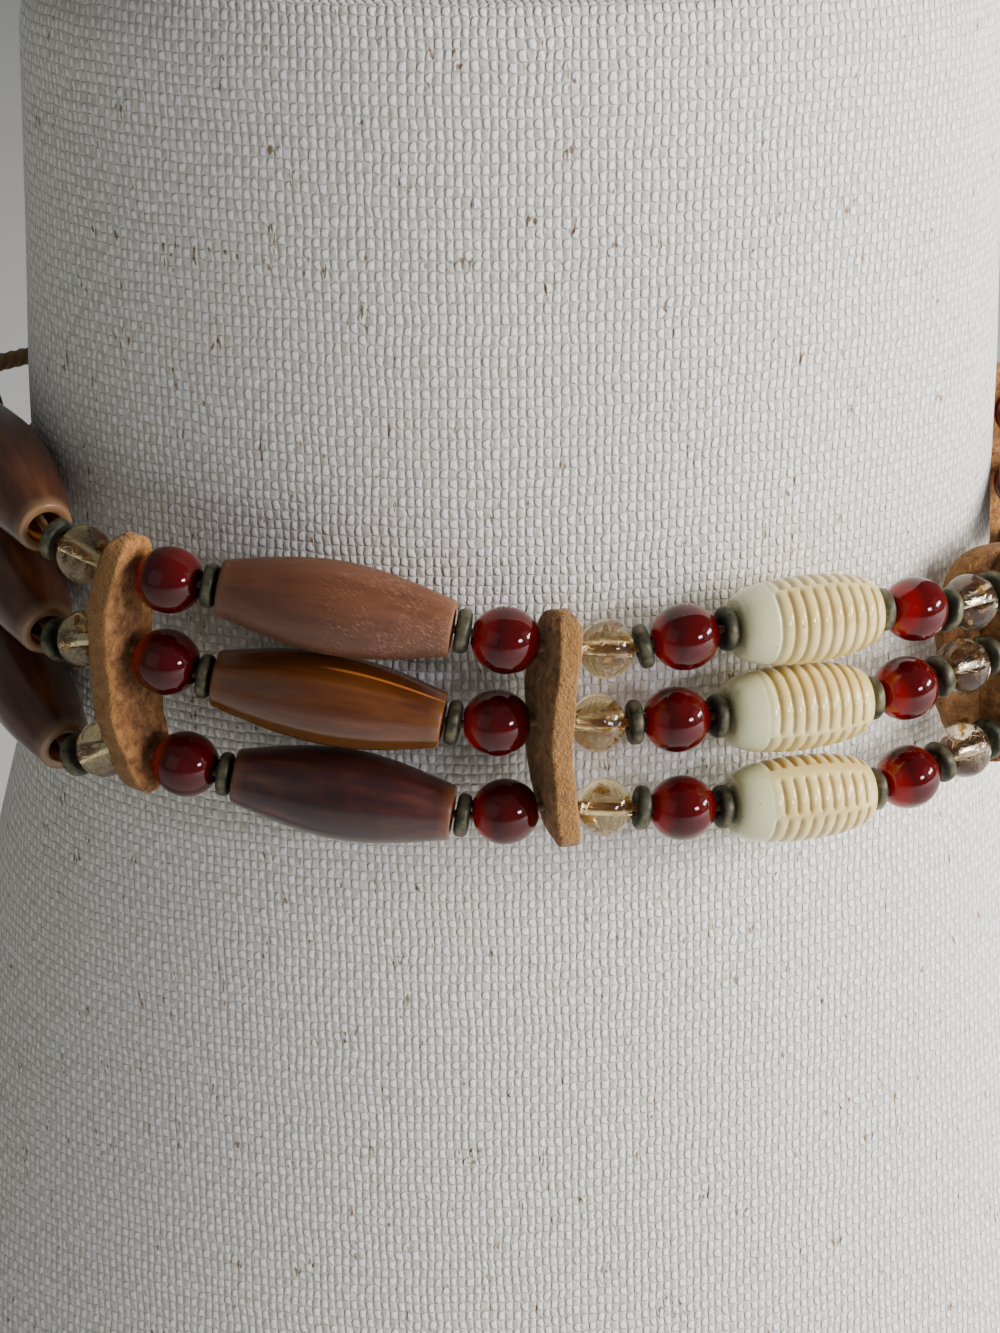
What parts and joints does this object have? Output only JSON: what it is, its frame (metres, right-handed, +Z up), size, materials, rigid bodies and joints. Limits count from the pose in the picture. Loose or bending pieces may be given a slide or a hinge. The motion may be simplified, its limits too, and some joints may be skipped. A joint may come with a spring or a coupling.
{
  "type": "beaded choker necklace on a linen neck bust",
  "caption": "Choker of parallel bead strands, with horn hairpipes, ribbed bone beads, red stone rounds and brass rings between leather spacer bars, round a plain linen neck bust.",
  "frame": {"origin": "middle of the neck bust's flat underside", "axes": "+Z up along the neck; the front of the choker faces -Y; +X is the viewer's right, where the ribbed beads are"},
  "size_m": [0.1936, 0.133, 0.197],
  "materials": {
    "linen": "plain-woven natural linen with slubs and flecks",
    "brass": "antiqued, dull green-brown, bright on its edges",
    "thread": "waxed brown stringing thread",
    "horn": "polished amber-brown horn with fine fibres",
    "bone": "polished cream bone, tan in its grooves",
    "carnelian": "polished translucent dark red stone",
    "citrine": "polished crackled pale yellow stone",
    "leather": "hand-cut undyed suede edge"
  },
  "bodies": {
    "root": {"neck_bust": "linen", "strand_top": "brass", "strand_middle": "brass", "strand_bottom": "brass", "hairpipe_top_left_end": "horn", "hairpipe_top_left": "horn", "hairpipe_top_right": "horn", "hairpipe_top_right_end": "horn", "ribbed_bead_top": "bone", "carnelian_top_1": "carnelian", "carnelian_top_2": "carnelian", "carnelian_top_3": "carnelian", "carnelian_top_4": "carnelian", "carnelian_top_5": "carnelian", "carnelian_top_6": "carnelian", "hairpipe_middle_left_end": "horn", "hairpipe_middle_left": "horn", "hairpipe_middle_right": "horn", "hairpipe_middle_right_end": "horn", "ribbed_bead_middle": "bone", "carnelian_middle_1": "carnelian", "carnelian_middle_2": "carnelian", "carnelian_middle_3": "carnelian", "carnelian_middle_4": "carnelian", "carnelian_middle_5": "carnelian", "carnelian_middle_6": "carnelian", "hairpipe_bottom_left_end": "horn", "hairpipe_bottom_left": "horn", "hairpipe_bottom_right": "horn", "hairpipe_bottom_right_end": "horn", "ribbed_bead_bottom": "bone", "carnelian_bottom_1": "carnelian", "carnelian_bottom_2": "carnelian", "carnelian_bottom_3": "carnelian", "carnelian_bottom_4": "carnelian", "carnelian_bottom_5": "carnelian", "carnelian_bottom_6": "carnelian", "leather_bar_1": "leather", "leather_bar_2": "leather", "leather_bar_3": "leather", "leather_bar_4": "leather", "leather_bar_5": "leather", "leather_bar_6": "leather", "clasp": "brass"}
  },
  "joints": []
}
